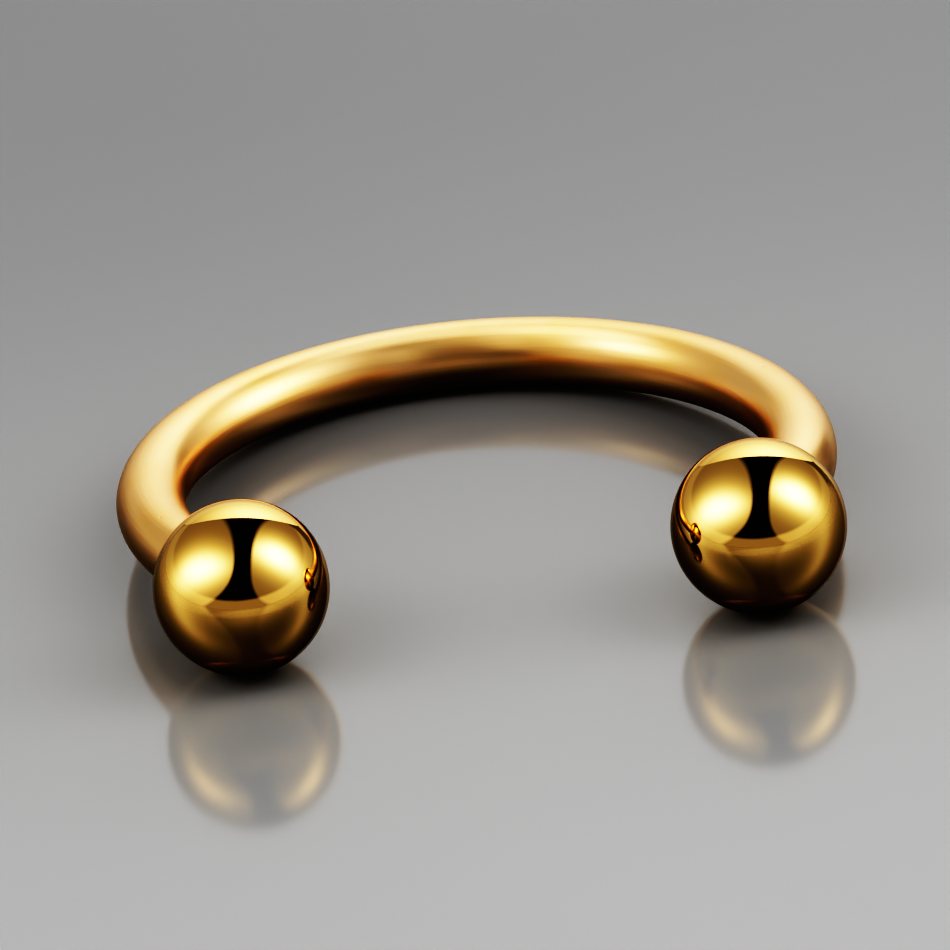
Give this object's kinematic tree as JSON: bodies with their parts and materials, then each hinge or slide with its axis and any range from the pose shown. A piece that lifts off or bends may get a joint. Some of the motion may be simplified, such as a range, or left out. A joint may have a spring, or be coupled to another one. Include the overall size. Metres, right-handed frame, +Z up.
{
  "type": "horseshoe barbell",
  "caption": "Open curved ring of round wire for a piercing, with a screw-on ball closing each threaded end.",
  "frame": {"origin": "on the surface that the piece lies on, in the middle of its bounding box from side to side and from front to back", "axes": "+X runs across the opening from the left ball to the right ball, as seen from the open side, and is the longest extent and the mirror axis; +Y runs from the open side to the back of the wire; +Z is up, across the thin way of the ring"},
  "size_m": [0.0124, 0.0114, 0.003],
  "materials": {
    "bar_gold": "gold-coloured coating on surgical steel wire, satin polished, with fine drawing lines along the wire",
    "ball_gold": "gold-coloured coating on surgical steel, mirror polished"
  },
  "bodies": {
    "bar": {"bar": "bar_gold"},
    "ball_left": {"ball_left": "ball_gold"},
    "ball_right": {"ball_right": "ball_gold"}
  },
  "joints": [
    {"name": "ball_left_unscrew", "type": "slide", "parent": "bar", "child": "ball_left", "axis": [0.4415, -0.893, 0.0869], "range_m": [0, 0.004]},
    {"name": "ball_right_unscrew", "type": "slide", "parent": "bar", "child": "ball_right", "axis": [-0.4415, -0.893, 0.0869], "range_m": [0, 0.004]}
  ]
}
